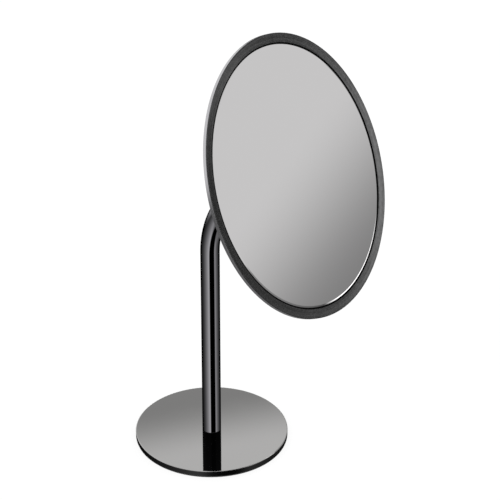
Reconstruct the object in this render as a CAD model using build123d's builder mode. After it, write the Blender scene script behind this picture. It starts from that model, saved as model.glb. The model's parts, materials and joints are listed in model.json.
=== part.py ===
from build123d import *
import os
from math import acos, asin, cos, degrees, radians, sin

# Standing shaving mirror: a flat round base, one bent tube and a round head that tilts on a ball joint.
# Millimetres, +Z up. The origin is the centre of the underside, and the mirror faces -Y.
# Threads are plain cylinders of the thread's outer diameter.

# ---- base ----
base_radius = 65.0
base_plate_thickness = 5.2
base_edge_round = 0.6
pad_thickness = 0.8
pad_inset = 0.4
foot_washer_thickness = 0.4
trim_inset = 0.4  # washers stay this far inside the tube's outside

# ---- bent tube ----
tube_radius = 8.0
tube_wall = 1.5
post_length = 173.4  # from the top of the base to the start of the bend
bend_radius = 86.6  # of the tube's centre line
bend_angle = 66.1  # how far the tube turns from upright towards the user
tube_end = 5.0  # straight stretch after the bend

# ---- head: stations are measured along the head's axis, from the end of the bend ----
head_radius = 112.7
head_front = 36.7
rim_height = 3.0  # cylindrical side of the front ring
rim_round = 0.4
ring_face_width = 7.5
ring_face_dish = 0.9  # the ring's face slopes in towards the glass
flange_front = 31.1
flange_back = 29.9
flange_bore = 95.0
gasket_width = 1.3
gasket_drop = 0.1  # the gasket's front below the glass
glass_thickness = 3.0
glass_recess = 1.0  # the glass below the ring's front edge
glass_bevel_width = 1.3
glass_bevel_depth = 0.35
backing_thickness = 1.0
backing_radius = 102.5
shell_thickness = 1.0
shell_back = 20.6
shell_rim_step = 0.35  # the shell's edge sits this far inside the ring's side
shell_shoulder = (101.5, 26.1)  # radius and station where the flared edge begins
shell_land_corner = 42.0  # radius where the flat middle would meet the sloping back
shell_rounds = (420.0, 10.0)

# ---- ball joint ----
ball_radius = 8.0
ball_station = 19.0
ball_neck_radius = 3.5
seat_clearance = 0.12  # between the ball, the seats and the socket
seat_thickness = 1.6
cap_mouth_angle = 57.0  # half angle of the opening round the ball's neck
rear_seat_angles = (61.0, 88.0)
front_seat_angles = (118.0, 154.0)
housing_back = 17.1
housing_front = 30.3
housing_radius = 14.2
housing_flange_radius = 21.0
housing_floor = 29.0
spring_bore = 8.6
cap_thread_radius = 12.4
cap_thread_end = 20.5
cap_grip_radius = 15.5
cap_grip_start = 13.9
cap_nose_radius = 12.5
grip_groove_count = 36
grip_groove_radius = 0.5

# ---- fasteners ----
m6_radius = 3.0
m3_radius = 1.5
m2_radius = 1.0
hole_clearance = 0.1
cut_margin = 1.0  # how far a cut runs past the surface it opens
socket_screw_count = 3
socket_screw_circle = 17.6
socket_screw_head = (2.75, 1.4)  # radius and height
socket_screw_hex = (1.15, 0.9)  # corner radius and depth
ring_screw_count = 6
ring_screw_circle = 99.0
weld_nut_radius = 2.6

# ---- worked out from the sizes above ----
plate_top = pad_thickness + base_plate_thickness
foot_bottom = plate_top + foot_washer_thickness
bend_start = plate_top + post_length
tube_bore = tube_radius - tube_wall
ring_back = head_front - rim_height
ring_bore = head_radius - ring_face_width
glass_front = head_front - glass_recess
glass_back = glass_front - glass_thickness
glass_radius = ring_bore - gasket_width
backing_back = flange_back - backing_thickness
shell_front = shell_back + shell_thickness
seat_inner = ball_radius + seat_clearance
seat_outer = seat_inner + seat_thickness
socket_radius = seat_outer + seat_clearance

turn_angle = radians(bend_angle)
bend_end_forward = bend_radius * (1 - cos(turn_angle))
bend_end_height = bend_start + bend_radius * sin(turn_angle)
axis_start = Vector(0, -bend_end_forward, bend_end_height)
axis_direction = Vector(0, -sin(turn_angle), cos(turn_angle))
head_axis = Axis(axis_start, axis_direction)
# x is the radius and y is the station along the head's axis
head_section = Plane(origin=axis_start, x_dir=(1, 0, 0), z_dir=Vector(1, 0, 0).cross(axis_direction))


def head_plane(station):
    """The plane square to the head's axis at a station."""
    return Plane(origin=axis_start + axis_direction * station, x_dir=(1, 0, 0), z_dir=axis_direction)


def turn(points, plane=head_section, axis=head_axis, mode=Mode.ADD):
    """Revolve a closed outline of (radius, station) points about an axis, in the open part."""
    with BuildSketch(plane) as outline:
        with BuildLine():
            Polyline(*points, close=True)
        make_face()
    revolve(outline.sketch, axis=axis, mode=mode)


def ring_of_rods(station, length, circle, count, radius, mode=Mode.ADD):
    """Equal round rods, or holes, standing on a circle about the head's axis, in the open part."""
    with BuildSketch(head_plane(station)) as rods:
        with PolarLocations(circle, count, start_angle=90):
            Circle(radius)
    extrude(rods.sketch, amount=length, mode=mode)


def ball_point(radius, angle):
    """A point on a sphere about the ball's centre; the angle is taken from the neck's side."""
    return (radius * sin(radians(angle)), ball_station - radius * cos(radians(angle)))


def ball_arc(radius, first, last):
    """An arc about the ball's centre between two angles, in the open line."""
    ThreePointArc(ball_point(radius, first), ball_point(radius, (first + last) / 2), ball_point(radius, last))


def turn_seat(first, last):
    """A band of plastic between the ball and the socket, in the open part."""
    with BuildSketch(head_section) as outline:
        with BuildLine():
            Line(ball_point(seat_inner, first), ball_point(seat_outer, first))
            ball_arc(seat_outer, first, last)
            Line(ball_point(seat_outer, last), ball_point(seat_inner, last))
            ball_arc(seat_inner, last, first)
        make_face()
    revolve(outline.sketch, axis=head_axis)


def turn_socket(first, last, points):
    """Revolve an outline whose inside is the socket's sphere between two angles, in the open part."""
    with BuildSketch(head_section) as outline:
        with BuildLine():
            Polyline(ball_point(socket_radius, first), *points, ball_point(socket_radius, last))
            ball_arc(socket_radius, last, first)
        make_face()
    revolve(outline.sketch, axis=head_axis)


# ==== base ====

screw_head_radius = 6.0
screw_head_height = screw_head_radius - m6_radius
screw_length = 15.0
screw_hex_radius = 2.3
screw_hex_depth = 2.0
pin_radius = 1.0
pin_circle = 4.8
pin_depth = 1.5
pin_height = 4.0
plug_length = 14.0
plug_chamfer = 0.5

with BuildPart() as base_pad:
    with BuildSketch():
        Circle(base_radius - pad_inset)
    extrude(amount=pad_thickness)
base_pad.part.label = "base_pad"

with BuildPart() as base_plate:
    with BuildSketch(Plane.XY.offset(pad_thickness)):
        Circle(base_radius)
    extrude(amount=base_plate_thickness)
    fillet(base_plate.edges().sort_by(Axis.Z)[-1], radius=base_edge_round)
    chamfer(base_plate.edges().sort_by(Axis.Z)[0], length=base_edge_round / 2)
    turn(
        [
            (0, pad_thickness),
            (screw_head_radius + hole_clearance, pad_thickness),
            (m6_radius + hole_clearance, pad_thickness + screw_head_height),
            (m6_radius + hole_clearance, plate_top),
            (0, plate_top),
        ],
        plane=Plane.XZ,
        axis=Axis.Z,
        mode=Mode.SUBTRACT,
    )
    with BuildSketch(Plane.XY.offset(plate_top)):
        with Locations((0, pin_circle)):
            Circle(pin_radius)
    extrude(amount=-pin_depth, mode=Mode.SUBTRACT)
base_plate.part.label = "base_plate"

with BuildPart() as base_screw:
    turn(
        [
            (0, pad_thickness),
            (screw_head_radius, pad_thickness),
            (m6_radius, pad_thickness + screw_head_height),
            (m6_radius, pad_thickness + screw_length),
            (0, pad_thickness + screw_length),
        ],
        plane=Plane.XZ,
        axis=Axis.Z,
    )
    with BuildSketch(Plane.XY.offset(pad_thickness)):
        RegularPolygon(radius=screw_hex_radius, side_count=6)
    extrude(amount=screw_hex_depth, mode=Mode.SUBTRACT)
base_screw.part.label = "base_screw"

with BuildPart() as locating_pin:
    with BuildSketch(Plane.XY.offset(plate_top - pin_depth)):
        with Locations((0, pin_circle)):
            Circle(pin_radius)
    extrude(amount=pin_depth + foot_washer_thickness + pin_height)
locating_pin.part.label = "locating_pin"

with BuildPart() as foot_washer:
    with BuildSketch(Plane.XY.offset(plate_top)):
        Circle(tube_radius - trim_inset)
        Circle(m6_radius + hole_clearance, mode=Mode.SUBTRACT)
        with Locations((0, pin_circle)):
            Circle(pin_radius, mode=Mode.SUBTRACT)
    extrude(amount=foot_washer_thickness)
foot_washer.part.label = "foot_washer"

with BuildPart() as foot_plug:
    with BuildSketch(Plane.XY.offset(foot_bottom)):
        Circle(tube_bore)
        Circle(m6_radius, mode=Mode.SUBTRACT)
    extrude(amount=plug_length)
    with BuildSketch(Plane.XY.offset(foot_bottom)):
        with Locations((0, pin_circle)):
            Circle(pin_radius)
    extrude(amount=pin_height, mode=Mode.SUBTRACT)
    chamfer(foot_plug.edges().filter_by(GeomType.CIRCLE).sort_by(Axis.Z)[-2:], length=plug_chamfer)
foot_plug.part.label = "foot_plug"


# ==== bent tube and its upper end ====

with BuildPart() as post_tube:
    with BuildLine(Plane.YZ) as tube_path:
        post = Line((0, foot_bottom), (0, bend_start))
        bend = JernArc(start=post @ 1, tangent=post % 1, radius=bend_radius, arc_size=bend_angle)
        Line(bend @ 1, bend @ 1 + (bend % 1) * tube_end)
    with BuildSketch(Plane.XY.offset(foot_bottom)):
        Circle(tube_radius)
        Circle(tube_bore, mode=Mode.SUBTRACT)
    sweep(path=tube_path.wires()[0])
post_tube.part.label = "post_tube"

end_plug_depth = 3.5  # how far the plug reaches back into the bend
end_plug_relief = 0.5  # its inner half is slimmer, to clear the curved wall
collar_top = 7.2
collar_lip = 5.6
collar_nose_radius = 5.2
stud_washer_thickness = 0.8
stud_washer_radius = 4.6
wrench_flange_radius = 4.85
wrench_flange_height = 1.4
stud_thread_start = -3.0
wrench_flange_back = collar_top + stud_washer_thickness
wrench_flange_front = wrench_flange_back + wrench_flange_height

with BuildPart() as end_plug:
    turn(
        [
            (m6_radius, -end_plug_depth),
            (tube_bore - end_plug_relief, -end_plug_depth),
            (tube_bore - end_plug_relief, 0),
            (tube_bore, end_plug_relief),
            (tube_bore, tube_end),
            (m6_radius, tube_end),
        ]
    )
end_plug.part.label = "end_plug"

with BuildPart() as neck_collar:
    turn(
        [
            (m6_radius + hole_clearance, tube_end),
            (tube_radius, tube_end),
            (tube_radius, collar_lip),
            (collar_nose_radius, collar_top),
            (m6_radius + hole_clearance, collar_top),
        ]
    )
neck_collar.part.label = "neck_collar"

with BuildPart() as stud_washer:
    turn(
        [
            (m6_radius + hole_clearance, collar_top),
            (stud_washer_radius, collar_top),
            (stud_washer_radius, wrench_flange_back),
            (m6_radius + hole_clearance, wrench_flange_back),
        ]
    )
stud_washer.part.label = "stud_washer"

with BuildPart() as ball_stud:
    with BuildSketch(head_section) as ball_outline:
        with BuildLine():
            Line(ball_point(ball_radius, 0), ball_point(ball_radius, 180))
            ball_arc(ball_radius, 180, 0)
        make_face()
    revolve(axis=head_axis)
    with BuildSketch(head_plane(wrench_flange_front)):
        Circle(ball_neck_radius)
    extrude(amount=ball_station - wrench_flange_front)
    with BuildSketch(head_plane(wrench_flange_back)):
        RegularPolygon(radius=wrench_flange_radius, side_count=6)
    extrude(amount=wrench_flange_height)
    with BuildSketch(head_plane(stud_thread_start)):
        Circle(m6_radius)
    extrude(amount=wrench_flange_back - stud_thread_start)
ball_stud.part.label = "ball_stud"


# ==== ball socket ====

spring_thickness = 0.5
spring_radii = (4.4, 8.4)
spring_rise = 0.5

with BuildPart() as rear_seat:
    turn_seat(*rear_seat_angles)
rear_seat.part.label = "rear_seat"

with BuildPart() as front_seat:
    turn_seat(*front_seat_angles)
front_seat.part.label = "front_seat"

with BuildPart() as disc_spring:
    turn(
        [
            (spring_radii[0], housing_floor - spring_thickness - spring_rise),
            (spring_radii[1], housing_floor - spring_thickness),
            (spring_radii[1], housing_floor),
            (spring_radii[0], housing_floor - spring_rise),
        ]
    )
disc_spring.part.label = "disc_spring"

joint_angle = degrees(acos((ball_station - cap_thread_end) / socket_radius))  # where cap and housing meet
spring_bore_angle = 180 - degrees(asin(spring_bore / socket_radius))
grip_chamfer = 1.0
grip_groove_offset = 0.1  # the grooves' centres outside the grip
grip_groove_margin = 0.6  # plain band left behind the grooves

with BuildPart() as socket_cap:
    turn_socket(
        cap_mouth_angle,
        joint_angle,
        [
            ball_point(cap_nose_radius, cap_mouth_angle),
            (cap_grip_radius - grip_chamfer, cap_grip_start),
            (cap_grip_radius, cap_grip_start + grip_chamfer),
            (cap_grip_radius, housing_back),
            (cap_thread_radius, housing_back),
            (cap_thread_radius, cap_thread_end),
        ],
    )
    with BuildSketch(head_plane(cap_grip_start)):
        with PolarLocations(cap_grip_radius + grip_groove_offset, grip_groove_count):
            Circle(grip_groove_radius)
    extrude(amount=housing_back - cap_grip_start - grip_groove_margin, mode=Mode.SUBTRACT)
socket_cap.part.label = "socket_cap"

housing_chamfer = 0.6
screw_hole_end = housing_back + 0.7

with BuildPart() as socket_housing:
    turn_socket(
        joint_angle,
        spring_bore_angle,
        [
            (cap_thread_radius, cap_thread_end),
            (cap_thread_radius, housing_back),
            (housing_flange_radius - housing_chamfer, housing_back),
            (housing_flange_radius, housing_back + housing_chamfer),
            (housing_flange_radius, shell_back),
            (housing_radius, shell_back),
            (housing_radius, housing_front),
            (0, housing_front),
            (0, housing_floor),
            (spring_bore, housing_floor),
        ],
    )
    ring_of_rods(
        screw_hole_end, shell_back - screw_hole_end, socket_screw_circle, socket_screw_count, m3_radius,
        mode=Mode.SUBTRACT,
    )
socket_housing.part.label = "socket_housing"


# ==== head ====

shell_slope_run = head_radius - shell_rim_step - shell_shoulder[0]
shell_slope_rise = ring_back - shell_shoulder[1]
shell_overrun = 1.2  # the flared edge is drawn this much longer, then cut square to the axis
shell_bore = housing_radius + hole_clearance
hole_radius = m3_radius + hole_clearance

with BuildPart() as back_shell:
    with BuildSketch(head_section):
        with BuildLine():
            FilletPolyline(
                (shell_bore, shell_back),
                (shell_land_corner, shell_back),
                shell_shoulder,
                (
                    shell_shoulder[0] + shell_overrun * shell_slope_run,
                    shell_shoulder[1] + shell_overrun * shell_slope_rise,
                ),
                radius=shell_rounds,
            )
            offset(amount=shell_thickness, side=Side.LEFT)
        make_face()
    revolve(axis=head_axis)
    split(bisect_by=head_plane(ring_back), keep=Keep.BOTTOM)
    ring_of_rods(
        shell_back - cut_margin, shell_thickness + 2 * cut_margin, socket_screw_circle, socket_screw_count,
        hole_radius, mode=Mode.SUBTRACT,
    )
back_shell.part.label = "back_shell"

with BuildPart() as screw_spacers:
    ring_of_rods(
        shell_front, backing_back - shell_front, socket_screw_circle, socket_screw_count, socket_screw_head[0]
    )
    ring_of_rods(
        shell_front, backing_back - shell_front, socket_screw_circle, socket_screw_count, hole_radius,
        mode=Mode.SUBTRACT,
    )
screw_spacers.part.label = "screw_spacers"

socket_screw_start = housing_back + 1.0

with BuildPart() as socket_screws:
    ring_of_rods(
        socket_screw_start, flange_back - socket_screw_start, socket_screw_circle, socket_screw_count,
        m3_radius,
    )
    ring_of_rods(
        flange_back, socket_screw_head[1], socket_screw_circle, socket_screw_count, socket_screw_head[0]
    )
    with BuildSketch(head_plane(flange_back + socket_screw_head[1])) as drives:
        with PolarLocations(socket_screw_circle, socket_screw_count, start_angle=90):
            RegularPolygon(radius=socket_screw_hex[0], side_count=6)
    extrude(drives.sketch, amount=-socket_screw_hex[1], mode=Mode.SUBTRACT)
socket_screws.part.label = "socket_screws"

with BuildPart() as backing_plate:
    with BuildSketch(head_plane(backing_back)):
        Circle(backing_radius)
        Circle(housing_radius + hole_clearance, mode=Mode.SUBTRACT)
        with PolarLocations(socket_screw_circle, socket_screw_count, start_angle=90):
            Circle(hole_radius, mode=Mode.SUBTRACT)
        with PolarLocations(ring_screw_circle, ring_screw_count, start_angle=90):
            Circle(m2_radius + hole_clearance, mode=Mode.SUBTRACT)
    extrude(amount=backing_thickness)
backing_plate.part.label = "backing_plate"

# The ring's back follows the inside of the shell's flared edge, with a small gap.
flare = shell_slope_rise / shell_slope_run
seat_edge = head_radius - shell_rim_step - shell_thickness * (1 + flare**2) ** 0.5 / flare - hole_clearance
ring_screw_head_radius = 1.9
ring_screw_head_height = ring_screw_head_radius - m2_radius
ring_screw_slot = (1.9, 0.5, 1.0)
ring_screw_hole_depth = 3.0

with BuildPart() as front_ring:
    turn(
        [
            (head_radius, ring_back),
            (head_radius, head_front),
            (ring_bore, head_front - ring_face_dish),
            (ring_bore, flange_front),
            (flange_bore, flange_front),
            (flange_bore, flange_back),
            (seat_edge - (ring_back - flange_back) / flare, flange_back),
            (seat_edge, ring_back),
        ]
    )
    outer_edges = front_ring.edges().filter_by(GeomType.CIRCLE).sort_by(SortBy.RADIUS)[-2:]
    fillet(outer_edges.sort_by(head_axis)[-1], radius=rim_round)
    with Locations(head_plane(flange_front)):
        with PolarLocations(ring_screw_circle, ring_screw_count, start_angle=90):
            CounterSinkHole(
                m2_radius + hole_clearance,
                ring_screw_head_radius + hole_clearance,
                depth=ring_screw_hole_depth,
            )
front_ring.part.label = "front_ring"

ring_screw_length = 3.8
weld_nut_foot = shell_shoulder[1] + 0.5  # inside the shell's thickness, so that the shell trims the nut

with BuildPart() as ring_screws:
    with Locations(head_plane(flange_front)):
        with PolarLocations(ring_screw_circle, ring_screw_count, start_angle=90):
            Cylinder(m2_radius, ring_screw_length, align=(Align.CENTER, Align.CENTER, Align.MAX))
            Cone(
                m2_radius, ring_screw_head_radius, ring_screw_head_height,
                align=(Align.CENTER, Align.CENTER, Align.MAX),
            )
            Box(*ring_screw_slot, mode=Mode.SUBTRACT)
ring_screws.part.label = "ring_screws"

with BuildPart() as weld_nuts:
    ring_of_rods(
        weld_nut_foot, backing_back - weld_nut_foot, ring_screw_circle, ring_screw_count, weld_nut_radius
    )
    ring_of_rods(
        weld_nut_foot, backing_back - weld_nut_foot, ring_screw_circle, ring_screw_count, m2_radius,
        mode=Mode.SUBTRACT,
    )
    add(back_shell.part, mode=Mode.SUBTRACT)
weld_nuts.part.label = "weld_nuts"

adhesive_margin = 0.5

with BuildPart() as adhesive_ring:
    with BuildSketch(head_plane(flange_front)):
        Circle(glass_radius - glass_bevel_width)
        Circle(flange_bore + adhesive_margin, mode=Mode.SUBTRACT)
    extrude(amount=glass_back - flange_front)
adhesive_ring.part.label = "adhesive_ring"

centre_pad_radii = (34.0, 62.0)

with BuildPart() as centre_pad:
    with BuildSketch(head_plane(flange_back)):
        Circle(centre_pad_radii[1])
        Circle(centre_pad_radii[0], mode=Mode.SUBTRACT)
    extrude(amount=glass_back - flange_back)
centre_pad.part.label = "centre_pad"

with BuildPart() as glass_gasket:
    turn(
        [
            (glass_radius, flange_front),
            (ring_bore, flange_front),
            (ring_bore, glass_front - gasket_drop),
            (glass_radius, glass_front - gasket_drop),
        ]
    )
glass_gasket.part.label = "glass_gasket"

with BuildPart() as mirror_glass:
    turn(
        [
            (0, glass_back),
            (glass_radius, glass_back),
            (glass_radius, glass_front - glass_bevel_depth),
            (glass_radius - glass_bevel_width, glass_front),
            (0, glass_front),
        ]
    )
mirror_glass.part.label = "mirror_glass"


# ==== one file for each piece ====

pieces = [
    base_pad, base_plate, base_screw, locating_pin, foot_washer, foot_plug, post_tube, end_plug, neck_collar,
    stud_washer, ball_stud, rear_seat, front_seat, disc_spring, socket_cap, socket_housing, back_shell,
    screw_spacers, socket_screws, backing_plate, front_ring, ring_screws, weld_nuts, adhesive_ring, centre_pad,
    glass_gasket, mirror_glass,
]
os.makedirs("parts", exist_ok=True)
for piece in pieces:
    export_step(piece.part, f"parts/{piece.part.label}.step")
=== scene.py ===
import json
from math import cos, pi, radians, sin, tan

import bmesh
import bpy
from mathutils import Matrix, Vector


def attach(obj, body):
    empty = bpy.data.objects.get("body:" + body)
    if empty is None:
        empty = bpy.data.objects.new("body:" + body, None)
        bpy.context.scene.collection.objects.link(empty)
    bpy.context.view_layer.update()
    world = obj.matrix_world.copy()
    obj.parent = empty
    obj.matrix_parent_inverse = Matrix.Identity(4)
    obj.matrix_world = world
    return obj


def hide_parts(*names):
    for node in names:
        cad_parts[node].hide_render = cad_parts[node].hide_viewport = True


# A standing shaving mirror in a white studio: black chrome stand, satin dark ring, round glass.
# Metres, in the frame of the CAD: +Z up, the mirror faces -Y, the origin is under the middle of the base.

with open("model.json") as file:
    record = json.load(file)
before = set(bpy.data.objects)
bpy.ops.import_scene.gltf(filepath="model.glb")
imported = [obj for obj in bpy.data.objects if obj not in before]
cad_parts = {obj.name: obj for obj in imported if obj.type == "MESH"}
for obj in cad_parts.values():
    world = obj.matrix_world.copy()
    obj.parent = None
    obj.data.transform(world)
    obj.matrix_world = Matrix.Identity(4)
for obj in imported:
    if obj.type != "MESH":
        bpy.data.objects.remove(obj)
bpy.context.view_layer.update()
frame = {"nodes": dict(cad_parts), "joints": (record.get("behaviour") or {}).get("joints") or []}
nodes = frame["nodes"]

# ---- places read from the frame ----
spin = next(joint for joint in frame["joints"] if joint["name"] == "head_spin")
ball_centre = Vector(spin["pos_m"])
head_axis = Vector(spin["axis"]).normalized()
head_lean = head_axis.angle(Vector((0, 0, 1)))  # turns +Z onto the head's axis, about +X

# ---- camera ----
camera_aim = Vector((0.0858, 0.0156, 0.1357))
camera_azimuth = radians(-57.6)  # 0 is in front of the mirror
camera_elevation = radians(29.26)
camera_distance = 1.898
camera_lens = 158.7  # mm
camera_sensor = 36.0  # mm

# ---- studio, as the polished surfaces see it: directions in degrees, brightness as radiance ----
backdrop_white = 1.0
soft_light = 1.5
wall_light = 0.62
wall_foot = (-1.5, 2.2)  # elevations where the wall fades into the table
wall_foot_tilt = (311.0, 327.0, 2.0, -2.0)  # between these azimuths it moves by these elevations
wall_top = (26.0, 33.0)  # elevations where the wall fades into the dim part of the ceiling
ceiling_dim = 0.47
ceiling_start = (33.1, 34.5)  # elevations where the bright part of the ceiling begins
ceiling_tilt = (29.5, 37.5, 0.6, -0.6)  # between these azimuths it moves by these elevations
ceiling_light = 0.98
table_light = 0.235
table_edge = (-20.0, -3.0)  # elevations where the windows below fade into the table
floor_light = 0.27
floor_edge = (-50.0, -38.0)  # elevations where the floor fades into the windows
gap_sides = ((203.0, 212.0), (258.0, 267.0))  # azimuths where the dark gap behind the camera starts and ends
gap_top = (25.0, 45.0)  # elevations where it fades into the ceiling
later_bounces = 0.012  # what is left of the studio in a reflection of a reflection
first_bounce_depth = 1.5  # a glossy depth below this is a first reflection
lamp_edge = (0.3, 1.6)  # squared distances, in spreads, where a lamp starts to fade and where it ends

# Lamps: centre, spread (both azimuth and elevation) and strength
lamps = (
    ((100.0, 12.0), (60.0, 26.0), 0.6),  # on the outer side of the ring
    ((304.0, 11.5), (11.5, 10.5), 2.6),  # on the ring's face, at the right
    ((324.0, -8.5), (5.0, 4.0), 2.8),  # on the ring's face, at the left
    ((331.0, -20.5), (13.0, 6.0), 1.6),  # on the glass's bevel
)

# Low windows left and right of the camera, with the dark gap between them: azimuths where each opens and
# closes, and its light, which is gain * ramp ** power + least, with a ramp from 0 to 1 between two azimuths
left_window = {
    "opens": (88.0, 104.0), "closes": (198.0, 209.0), "ramp": (95.0, 197.0),
    "power": 2.2, "gain": 0.78, "least": 0.03,
}
right_window = {
    "opens": (259.0, 270.0), "closes": (318.0, 342.0), "ramp": (345.0, 268.0),
    "power": 2.5, "gain": 0.52, "least": 0.045,
}

# ---- floor under the part ----
floor_half = 4.0
floor_drop = 0.0001
floor_colours = (0.1, 0.12)
floor_glow = 0.87

# ---- finishes ----
noise_span = (0.3, 0.7)  # most of a noise's values are between these
chrome_grey = 0.41
chrome_smear = 1.03  # how much brighter the smeared patches are
chrome_roughness = (0.012, 0.032)
# painted highlight: the ring's outer side gets this bright colour for the light it reflects
side_highlight_grey = 0.42  # the ring's outer side
side_tint = (1.0, 0.99, 1.02)
ring_inside = 0.11  # only what is further out than this can be the ring's outer side
smooth_angle = radians(30)


class Graph:
    """A node tree, with short calls for the nodes that this scene uses."""

    def __init__(self, tree):
        self.tree = tree

    def node(self, kind, inputs=None, **settings):
        made = self.tree.nodes.new(kind)
        for name, value in settings.items():
            setattr(made, name, value)
        for name, value in (inputs or {}).items():
            self.feed(made.inputs[name], value)
        return made

    def feed(self, socket, value):
        if isinstance(value, bpy.types.NodeSocket):
            self.tree.links.new(value, socket)
        else:
            socket.default_value = value

    def math(self, operation, *values):
        made = self.node("ShaderNodeMath", operation=operation)
        for socket, value in zip(made.inputs, values):
            self.feed(socket, value)
        return made.outputs[0]

    def step(self, value, start, end, low=0.0, high=1.0):
        """A smooth rise from low to high as the value goes from start to end."""
        made = self.node(
            "ShaderNodeMapRange",
            {"Value": value, "From Min": start, "From Max": end, "To Min": low, "To Max": high},
            interpolation_type="SMOOTHSTEP",
        )
        return made.outputs["Result"]

    def straight(self, value, start, end, low=0.0, high=1.0):
        """A straight ramp from low to high, flat on both sides."""
        made = self.node(
            "ShaderNodeMapRange",
            {"Value": value, "From Min": start, "From Max": end, "To Min": low, "To Max": high},
        )
        return made.outputs["Result"]

    def mix(self, factor, first, second):
        made = self.node("ShaderNodeMix", data_type="FLOAT")
        for index, value in ((0, factor), (2, first), (3, second)):
            self.feed(made.inputs[index], value)
        return made.outputs[0]

    def mix_colour(self, factor, first, second):
        made = self.node("ShaderNodeMix", data_type="RGBA")
        for index, value in ((0, factor), (6, first), (7, second)):
            self.feed(made.inputs[index], value)
        return made.outputs[2]

    def noise(self, vector, scale, detail=2.0):
        made = self.node("ShaderNodeTexNoise", {"Vector": vector, "Scale": scale, "Detail": detail})
        return made.outputs[0]

    def bump(self, height, distance, strength):
        inputs = {"Height": height, "Distance": distance, "Strength": strength}
        return self.node("ShaderNodeBump", inputs).outputs[0]


def grey(value, tint=(1.0, 1.0, 1.0)):
    return (value * tint[0], value * tint[1], value * tint[2], 1.0)


# ==== studio ====

def soft_lamp(graph, azimuth, elevation, centre, spread, strength):
    """A soft round lamp in a direction of the studio."""
    across = graph.math("DIVIDE", graph.math("SUBTRACT", azimuth, centre[0]), spread[0])
    above = graph.math("DIVIDE", graph.math("SUBTRACT", elevation, centre[1]), spread[1])
    distance = graph.math("ADD", graph.math("MULTIPLY", across, across), graph.math("MULTIPLY", above, above))
    return graph.step(distance, *lamp_edge, strength, 0.0)


def low_window(graph, azimuth, opens, closes, ramp, power, gain, least):
    """Light from one window below the table's edge, across the azimuths."""
    light = graph.math("POWER", graph.straight(azimuth, *ramp), power)
    light = graph.math("MULTIPLY_ADD", light, gain, least)
    light = graph.math("MULTIPLY", light, graph.step(azimuth, *opens))
    return graph.math("MULTIPLY", light, graph.step(azimuth, *closes, 1.0, 0.0))


def build_world():
    """White to the camera, even light for rough surfaces, and the drawn studio in reflections."""
    world = bpy.data.worlds.new("studio")
    world.use_nodes = True
    world.node_tree.nodes.clear()
    graph = Graph(world.node_tree)
    direction = graph.node("ShaderNodeTexCoord").outputs["Generated"]
    part = graph.node("ShaderNodeSeparateXYZ", {"Vector": direction}).outputs
    turn = graph.math("MULTIPLY", graph.math("ARCTAN2", part["Y"], part["X"]), 180 / pi)
    azimuth = graph.math("FLOORED_MODULO", turn, 360.0)
    elevation = graph.math("MULTIPLY", graph.math("ARCSINE", part["Z"]), 180 / pi)

    wall = graph.step(elevation, *wall_top, wall_light, ceiling_dim)
    edge = graph.math("ADD", elevation, graph.straight(azimuth, *ceiling_tilt))
    upper = graph.math("ADD", wall, graph.step(edge, *ceiling_start, 0.0, ceiling_light - ceiling_dim))

    left = low_window(graph, azimuth, **left_window)
    right = low_window(graph, azimuth, **right_window)
    windows = graph.math("ADD", left, right)
    below = graph.mix(graph.step(elevation, *floor_edge), floor_light, windows)
    below = graph.mix(graph.step(elevation, *table_edge), below, table_light)
    gap_start, gap_end = gap_sides
    gap = graph.math("MULTIPLY", graph.step(azimuth, *gap_start), graph.step(azimuth, *gap_end, 1.0, 0.0))
    gap = graph.math("MULTIPLY", gap, graph.step(elevation, *gap_top, 1.0, 0.0))

    foot = graph.math("ADD", elevation, graph.straight(azimuth, *wall_foot_tilt))
    reflected = graph.mix(graph.step(foot, *wall_foot), below, upper)
    reflected = graph.math("MULTIPLY", reflected, graph.math("SUBTRACT", 1.0, gap))
    for lamp in lamps:
        reflected = graph.math("ADD", reflected, soft_lamp(graph, azimuth, elevation, *lamp))
    path = graph.node("ShaderNodeLightPath").outputs
    first_bounce = graph.math("LESS_THAN", path["Glossy Depth"], first_bounce_depth)
    reflected = graph.math("MULTIPLY", reflected, graph.math("MAXIMUM", first_bounce, later_bounces))

    seen = graph.mix(path["Is Glossy Ray"], soft_light, reflected)
    seen = graph.mix(path["Is Camera Ray"], seen, backdrop_white)
    background = graph.node("ShaderNodeBackground", {"Color": grey(1.0), "Strength": seen})
    output = graph.node("ShaderNodeOutputWorld")
    graph.tree.links.new(background.outputs[0], output.inputs["Surface"])
    bpy.context.scene.world = world


def build_floor():
    """A white floor just under the part, hidden from reflections."""
    mesh = bpy.data.meshes.new("floor")
    corners = [(x * floor_half, y * floor_half, 0) for x, y in ((-1, -1), (1, -1), (1, 1), (-1, 1))]
    mesh.from_pydata(corners, [], [(0, 1, 2, 3)])
    floor = bpy.data.objects.new("floor", mesh)
    floor.location.z = -floor_drop
    floor.visible_glossy = False
    bpy.context.scene.collection.objects.link(floor)
    material, graph, shader = new_material("floor_white")
    shade = graph.noise(object_place(graph), scale=3.0)
    darker, lighter = floor_colours
    graph.feed(shader.inputs["Base Color"], graph.mix_colour(shade, grey(darker), grey(lighter)))
    shader.inputs["Emission Color"].default_value = grey(1.0)
    shader.inputs["Emission Strength"].default_value = floor_glow
    shader.inputs["Roughness"].default_value = 0.9
    shader.inputs["Specular IOR Level"].default_value = 0.0
    mesh.materials.append(material)


def build_camera():
    data = bpy.data.cameras.new("camera")
    data.lens = camera_lens
    data.sensor_width = camera_sensor
    camera = bpy.data.objects.new("camera", data)
    back = Vector((
        sin(camera_azimuth) * cos(camera_elevation),
        -cos(camera_azimuth) * cos(camera_elevation),
        sin(camera_elevation),
    ))
    camera.location = camera_aim + back * camera_distance
    camera.rotation_euler = (-back).to_track_quat("-Z", "Y").to_euler()
    bpy.context.scene.collection.objects.link(camera)
    bpy.context.scene.camera = camera


# ==== materials ====

def new_material(name):
    material = bpy.data.materials.new(name)
    material.use_nodes = True
    graph = Graph(material.node_tree)
    return material, graph, material.node_tree.nodes["Principled BSDF"]


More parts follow.
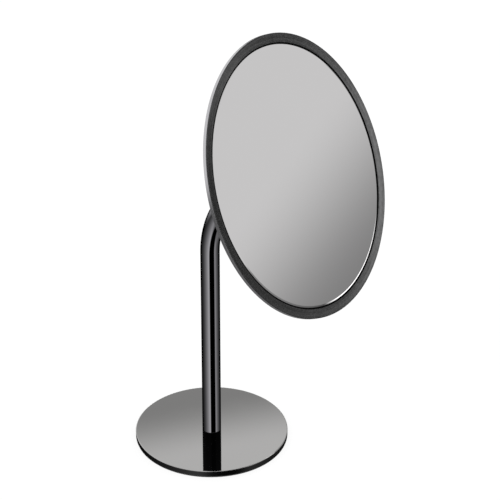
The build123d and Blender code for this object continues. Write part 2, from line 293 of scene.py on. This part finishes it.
def object_place(graph):
    return graph.node("ShaderNodeTexCoord").outputs["Object"]


def head_place(graph):
    """Object coordinates turned so that z is along the head's axis, from the ball's centre."""
    made = graph.node(
        "ShaderNodeMapping",
        {"Vector": object_place(graph), "Location": ball_centre, "Rotation": (head_lean, 0, 0)},
        vector_type="TEXTURE",
    )
    return made.outputs[0]


def round_place(graph, place):
    """(distance from the axis, angle in radians, height) from a place, whose axis is z."""
    part = graph.node("ShaderNodeSeparateXYZ", {"Vector": place}).outputs
    square = graph.math("MULTIPLY_ADD", part["X"], part["X"], graph.math("MULTIPLY", part["Y"], part["Y"]))
    return graph.math("SQRT", square), graph.math("ARCTAN2", part["Y"], part["X"]), part["Z"]


def lathe_lines(graph, place, per_metre):
    """Fine rings about the axis, broken up a little along their length."""
    radius, angle, height = round_place(graph, place)
    vector = graph.node(
        "ShaderNodeCombineXYZ",
        {"X": graph.math("MULTIPLY", radius, per_metre), "Y": graph.math("MULTIPLY", angle, 1.5),
         "Z": graph.math("MULTIPLY", height, per_metre)},
    ).outputs[0]
    return graph.noise(vector, scale=1.0, detail=3.0)


def finish_chrome(graph, shader, place, tint):
    """Polished plating: a clear reflection with faint haze and hairline polishing marks."""
    haze = graph.noise(place, scale=38.0, detail=4.0)
    smear = graph.noise(place, scale=9.0, detail=2.0)
    plating = graph.mix_colour(smear, grey(chrome_grey, tint), grey(chrome_grey * chrome_smear, tint))
    graph.feed(shader.inputs["Base Color"], plating)
    graph.feed(shader.inputs["Roughness"], graph.step(haze, 0.3, 0.75, *chrome_roughness))
    shader.inputs["Metallic"].default_value = 1.0
    marks = graph.noise(place, scale=900.0, detail=2.0)
    graph.feed(shader.inputs["Normal"], graph.bump(marks, distance=0.000002, strength=0.3))


def black_chrome():
    material, graph, shader = new_material("black_chrome")
    finish_chrome(graph, shader, object_place(graph), (1.0, 0.985, 1.04))
    return material


def base_chrome():
    """The base's top is polished; its turned edge, where the surface isn't level, is a satin with a painted
    darker colour: painted shade for the dark floor that the edge would reflect near the base.
    """
    material, graph, shader = new_material("base_black_chrome")
    place = object_place(graph)
    finish_chrome(graph, shader, place, (1.0, 0.99, 0.98))
    normal = graph.node("ShaderNodeTexCoord").outputs["Normal"]
    upright = graph.math("ABSOLUTE", graph.node("ShaderNodeSeparateXYZ", {"Vector": normal}).outputs["Z"])
    # painted shade: where the surface isn't level the colour turns dark, standing in for the dark reflection
    # of the floor close to the base; the fine lathe lines in it are real turning marks
    edge = graph.step(upright, 0.1, 0.35, 1.0, 0.0)
    lines = lathe_lines(graph, place, 2500.0)
    dark = graph.mix_colour(lines, grey(0.035), grey(0.07))
    top_colour = shader.inputs["Base Color"].links[0].from_socket
    graph.feed(shader.inputs["Base Color"], graph.mix_colour(edge, top_colour, dark))
    top_roughness = shader.inputs["Roughness"].links[0].from_socket
    graph.feed(shader.inputs["Roughness"], graph.mix(edge, top_roughness, 0.3))
    return material


def shell_metal():
    """Spun back of the head: satin black chrome with fine lathe rings."""
    material, graph, shader = new_material("shell_metal")
    place = head_place(graph)
    lines = lathe_lines(graph, place, 1600.0)
    haze = graph.noise(place, scale=30.0, detail=4.0)
    graph.feed(shader.inputs["Base Color"], graph.mix_colour(lines, grey(0.38), grey(0.44, side_tint)))
    graph.feed(shader.inputs["Roughness"], graph.step(haze, *noise_span, 0.2, 0.28))
    graph.feed(shader.inputs["Normal"], graph.bump(lines, distance=0.00002, strength=0.3))
    shader.inputs["Metallic"].default_value = 1.0
    return material


def ring_metal():
    """Satin dark face with a fine mottled grain; the ring's outer side gets a painted highlight, a bright
    colour for the light that it reflects.
    """
    material, graph, shader = new_material("ring_metal")
    place = head_place(graph)
    lines = lathe_lines(graph, place, 900.0)
    grain = graph.noise(object_place(graph), scale=1100.0, detail=3.0)
    mottle = graph.noise(object_place(graph), scale=320.0, detail=2.0)
    mixed = graph.mix(0.5, graph.mix(0.45, grain, mottle), lines)
    face = graph.mix_colour(graph.step(mixed, 0.36, 0.64), grey(0.037), grey(0.081, (1.0, 1.0, 1.01)))
    normal = graph.node("ShaderNodeTexCoord").outputs["Normal"]
    facing = graph.node("ShaderNodeVectorMath", {0: normal, 1: head_axis}, operation="DOT_PRODUCT")
    # painted highlight: surfaces on the outer rim that face sideways get a bright colour, standing in for the
    # light the ring's side reflects
    side = graph.step(facing.outputs["Value"], 0.25, 0.6, 1.0, 0.0)
    radius, _, _ = round_place(graph, place)
    side = graph.math("MULTIPLY", side, graph.math("GREATER_THAN", radius, ring_inside))
    graph.feed(shader.inputs["Base Color"], graph.mix_colour(side, face, grey(side_highlight_grey, side_tint)))
    graph.feed(shader.inputs["Roughness"], graph.mix(side, graph.step(grain, *noise_span, 0.19, 0.26), 0.22))
    graph.feed(shader.inputs["Normal"], graph.bump(mixed, distance=0.00003, strength=0.35))
    shader.inputs["Metallic"].default_value = 1.0
    return material


def mirror_glass():
    """Silvered glass: a clean bright reflection with a trace of haze."""
    material, graph, shader = new_material("mirror")
    place = object_place(graph)
    haze = graph.noise(place, scale=24.0, detail=5.0)
    silver = graph.mix_colour(haze, grey(0.9, (1.0, 0.985, 0.99)), grey(0.905, (1.0, 0.99, 0.99)))
    graph.feed(shader.inputs["Base Color"], silver)
    graph.feed(shader.inputs["Roughness"], graph.step(haze, 0.35, 0.7, 0.0, 0.012))
    shader.inputs["Metallic"].default_value = 1.0
    return material


def rubber(name, colour, scale, depth, shine):
    material, graph, shader = new_material(name)
    place = object_place(graph)
    cells = graph.node("ShaderNodeTexVoronoi", {"Vector": place, "Scale": scale}).outputs["Distance"]
    dust = graph.noise(place, scale=60.0, detail=4.0)
    graph.feed(shader.inputs["Base Color"], graph.mix_colour(dust, grey(colour), grey(colour * 1.8)))
    graph.feed(shader.inputs["Roughness"], graph.step(dust, *noise_span, 0.6, 0.85))
    shader.inputs["Specular IOR Level"].default_value = shine
    graph.feed(shader.inputs["Normal"], graph.bump(cells, distance=depth, strength=0.6))
    return material


def zinc_steel():
    """Bright zinc plating: patchy, slightly blue, with turning marks."""
    material, graph, shader = new_material("zinc_steel")
    place = object_place(graph)
    spangle = graph.node("ShaderNodeTexVoronoi", {"Vector": place, "Scale": 700.0}).outputs["Color"]
    shade = graph.node("ShaderNodeSeparateColor", {"Color": spangle}).outputs[0]
    haze = graph.noise(place, scale=300.0, detail=3.0)
    graph.feed(shader.inputs["Base Color"], graph.mix_colour(shade, grey(0.5, (0.98, 1.0, 1.03)), grey(0.64)))
    graph.feed(shader.inputs["Roughness"], graph.step(haze, *noise_span, 0.22, 0.42))
    graph.feed(shader.inputs["Normal"], graph.bump(haze, distance=0.00001, strength=0.4))
    shader.inputs["Metallic"].default_value = 1.0
    return material


def spring_steel():
    material, graph, shader = new_material("spring_steel")
    lines = lathe_lines(graph, head_place(graph), 3000.0)
    graph.feed(shader.inputs["Base Color"], graph.mix_colour(lines, grey(0.2, (1.0, 0.93, 0.84)), grey(0.34)))
    graph.feed(shader.inputs["Roughness"], graph.step(lines, *noise_span, 0.25, 0.4))
    graph.feed(shader.inputs["Normal"], graph.bump(lines, distance=0.00001, strength=0.4))
    shader.inputs["Metallic"].default_value = 1.0
    return material


def moulded_plastic(name, light, dark):
    material, graph, shader = new_material(name)
    place = object_place(graph)
    cloud = graph.noise(place, scale=120.0, detail=3.0)
    grain = graph.noise(place, scale=2500.0, detail=2.0)
    graph.feed(shader.inputs["Base Color"], graph.mix_colour(cloud, dark, light))
    graph.feed(shader.inputs["Roughness"], graph.step(grain, *noise_span, 0.35, 0.55))
    graph.feed(shader.inputs["Normal"], graph.bump(grain, distance=0.00001, strength=0.5))
    return material


def brushed_aluminium():
    material, graph, shader = new_material("backing_aluminium")
    stretch = (30.0, 3000.0, 3000.0)  # long marks along x
    place = graph.node("ShaderNodeMapping", {"Vector": head_place(graph), "Scale": stretch}).outputs[0]
    lines = graph.noise(place, scale=1.0, detail=4.0)
    graph.feed(shader.inputs["Base Color"], graph.mix_colour(lines, grey(0.55), grey(0.72)))
    graph.feed(shader.inputs["Roughness"], graph.step(lines, *noise_span, 0.3, 0.45))
    graph.feed(shader.inputs["Normal"], graph.bump(lines, distance=0.00001, strength=0.4))
    shader.inputs["Metallic"].default_value = 1.0
    return material


def foam_tape():
    material, graph, shader = new_material("foam_tape")
    place = object_place(graph)
    cells = graph.node("ShaderNodeTexVoronoi", {"Vector": place, "Scale": 1800.0}).outputs["Distance"]
    graph.feed(shader.inputs["Base Color"], graph.mix_colour(cells, grey(0.5), grey(0.72)))
    graph.feed(shader.inputs["Roughness"], graph.step(cells, 0.0, 0.6, 0.95, 0.8))
    graph.feed(shader.inputs["Normal"], graph.bump(cells, distance=0.0001, strength=0.7))
    return material


# ==== spun pieces ====

def rounded(corners, steps=10):
    """Points along (x, y, rounding) corners, with an arc of that radius at each corner that has one."""
    points = []
    for index, (x, y, radius) in enumerate(corners):
        here = Vector((x, y))
        if not radius:
            points.append(here)
            continue
        before = (Vector(corners[index - 1][:2]) - here).normalized()
        after = (Vector(corners[(index + 1) % len(corners)][:2]) - here).normalized()
        half = before.angle(after) / 2
        centre = here + (before + after).normalized() * radius / sin(half)
        first = here + before * radius / tan(half) - centre
        sweep = first.angle_signed(here + after * radius / tan(half) - centre)
        for step in range(steps + 1):
            turned = first.copy()
            turned.rotate(Matrix.Rotation(-sweep * step / steps, 2))
            points.append(centre + turned)
    return points


def spin_round(name, outline, body, node, material, segments=192):
    """A closed (radius, height) outline spun about the head's axis, with heights from the ball's centre."""
    made = bmesh.new()
    frame_turn = Matrix.Translation(ball_centre) @ Matrix.Rotation(head_lean, 4, "X")
    rings = []
    for step in range(segments):
        turn = 2 * pi * step / segments
        rings.append([
            made.verts.new(frame_turn @ Vector((point.x * cos(turn), point.x * sin(turn), point.y)))
            for point in outline
        ])
    count = len(outline)
    for step in range(segments):
        ring, following = rings[step], rings[(step + 1) % segments]
        for index in range(count):
            other = (index + 1) % count
            made.faces.new((ring[index], following[index], following[other], ring[other]))
    bmesh.ops.recalc_face_normals(made, faces=made.faces)
    mesh = bpy.data.meshes.new(name)
    made.to_mesh(mesh)
    made.free()
    mesh.shade_smooth()
    mesh.set_sharp_from_angle(angle=smooth_angle)
    mesh.materials.append(material)
    piece = bpy.data.objects.new(name, mesh)
    bpy.context.scene.collection.objects.link(piece)
    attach(piece, body)
    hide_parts(node)


def dress(material, *names):
    for name in names:
        nodes[name].data.materials.clear()
        nodes[name].data.materials.append(material)


def build_shell():
    """The spun back: a flat land with a hole for the socket, a gentle crown and a flared edge."""
    hole_radius = 0.0143
    land = 0.0016  # heights are from the ball's centre
    bend = (0.042, land)
    shoulder = (0.1015, 0.0071)
    edge = (0.11235, 0.0147)
    thickness = 0.001
    bend_rounding = 0.42
    shoulder_rounding = 0.01

    crown = (Vector(shoulder) - Vector(bend)).normalized()
    flare = (Vector(edge) - Vector(shoulder)).normalized()
    corner = thickness * tan(crown.angle(flare) / 2)
    inner_land = land + thickness
    inner_edge = edge[0] - thickness / flare.y
    inner_shoulder = (
        shoulder[0] - crown.y * thickness - crown.x * corner,
        shoulder[1] + crown.x * thickness - crown.y * corner,
    )
    inner_bend = inner_shoulder[0] - (inner_shoulder[1] - inner_land) * crown.x / crown.y
    outline = rounded([
        (hole_radius, land, 0),
        (*bend, bend_rounding),
        (*shoulder, shoulder_rounding),
        (*edge, 0),
        (inner_edge, edge[1], 0),
        (*inner_shoulder, shoulder_rounding - thickness),
        (inner_bend, inner_land, bend_rounding),
        (hole_radius, inner_land, 0),
    ])
    spin_round("spun_shell", outline, "head", "back_shell", shell_metal())


def dress_all():
    dress(black_chrome(), "post_tube", "neck_collar", "ball_stud", "socket_cap", "socket_housing")
    dress(base_chrome(), "base_plate")
    dress(ring_metal(), "front_ring")
    dress(mirror_glass(), "mirror_glass")
    dress(rubber("pad_rubber", 0.02, 900.0, 0.0002, 0.2), "base_pad")
    dress(rubber("gasket_rubber", 0.001, 1500.0, 0.00005, 0.02), "glass_gasket")
    dress(
        zinc_steel(), "base_screw", "locating_pin", "foot_plug", "end_plug", "stud_washer", "socket_screws",
        "screw_spacers", "ring_screws", "weld_nuts",
    )
    dress(spring_steel(), "disc_spring")
    dress(moulded_plastic("seat_nylon", grey(0.74), grey(0.64, (1.0, 0.98, 0.92))), "rear_seat", "front_seat")
    dress(moulded_plastic("washer_plastic", grey(0.05), grey(0.02)), "foot_washer")
    dress(brushed_aluminium(), "backing_plate")
    dress(foam_tape(), "adhesive_ring", "centre_pad")


build_world()
build_floor()
build_camera()
dress_all()
build_shell()
for name in ("base_plate", "base_pad"):
    nodes[name].visible_glossy = False
bpy.context.scene.view_settings.view_transform = "Standard"
